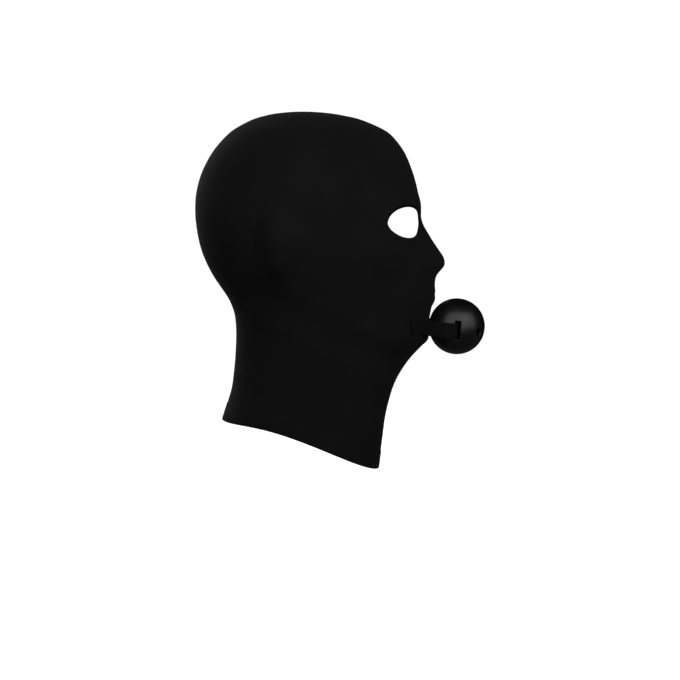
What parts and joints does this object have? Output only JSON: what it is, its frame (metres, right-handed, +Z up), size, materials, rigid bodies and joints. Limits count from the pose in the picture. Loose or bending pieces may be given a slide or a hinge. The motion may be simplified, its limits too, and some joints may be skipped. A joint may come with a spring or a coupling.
{
  "type": "ball gag hood",
  "caption": "Stretch-fabric hood that covers the whole head and neck, with eye holes, and a hollow ball held in front of the chin by a flat strap sewn to both cheeks.",
  "frame": {"origin": "inside of the crown, where the top of the wearer's head meets the fabric, on the middle plane", "axes": "+X is the way the face looks, +Z is up, +Y is the wearer's left"},
  "size_m": [0.2424, 0.1598, 0.2974],
  "materials": {
    "hood_fabric": "matte black stretch knit",
    "strap_fabric": "matte black woven band",
    "ball_plastic": "black moulded plastic, satin gloss"
  },
  "bodies": {
    "root": {"hood": "hood_fabric", "gag_strap": "strap_fabric", "gag_ball": "ball_plastic"}
  },
  "joints": []
}
